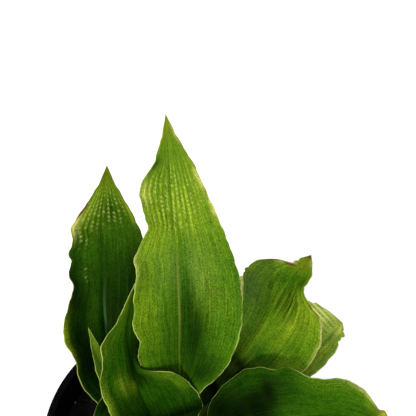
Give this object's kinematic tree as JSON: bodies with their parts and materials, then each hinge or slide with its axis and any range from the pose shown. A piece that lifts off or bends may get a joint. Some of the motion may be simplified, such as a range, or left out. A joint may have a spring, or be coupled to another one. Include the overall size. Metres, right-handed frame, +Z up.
{
  "type": "potted broad-leaved house plant",
  "caption": "Rosette of broad, pointed, waved green leaves with thin pale edges, growing from a short stem in soil, in a plain round tapered plant pot.",
  "frame": {"origin": "middle of the underside of the pot, on the flat pad that it stands on", "axes": "+Z up along the pot's axis; the tallest leaves lean away towards +Y; +X to the right as the picture sees it"},
  "size_m": [0.1531, 0.1544, 0.2223],
  "materials": {
    "leaf": "satin, waxy mid-green leaf with yellow-green streaks and a thin pale edge",
    "dark_leaf": "satin, waxy dark green leaf with a thin pale edge",
    "pale_leaf": "satin, pale yellow-green leaf with cross stripes",
    "stem": "matt, soft green stem and bud",
    "soil": "rough, dark potting soil of peat and bark",
    "pot": "matt black moulded plastic"
  },
  "bodies": {
    "root": {"leaf_back_tall": "leaf", "leaf_back_left": "dark_leaf", "leaf_left_inner": "leaf", "leaf_left_young": "leaf", "leaf_back_low": "pale_leaf", "leaf_back_right": "leaf", "leaf_right_low": "pale_leaf", "leaf_right": "leaf", "leaf_front_left": "dark_leaf", "leaf_front": "leaf", "leaf_front_right": "leaf", "crown": "stem", "soil": "soil", "pot": "pot"}
  },
  "joints": []
}
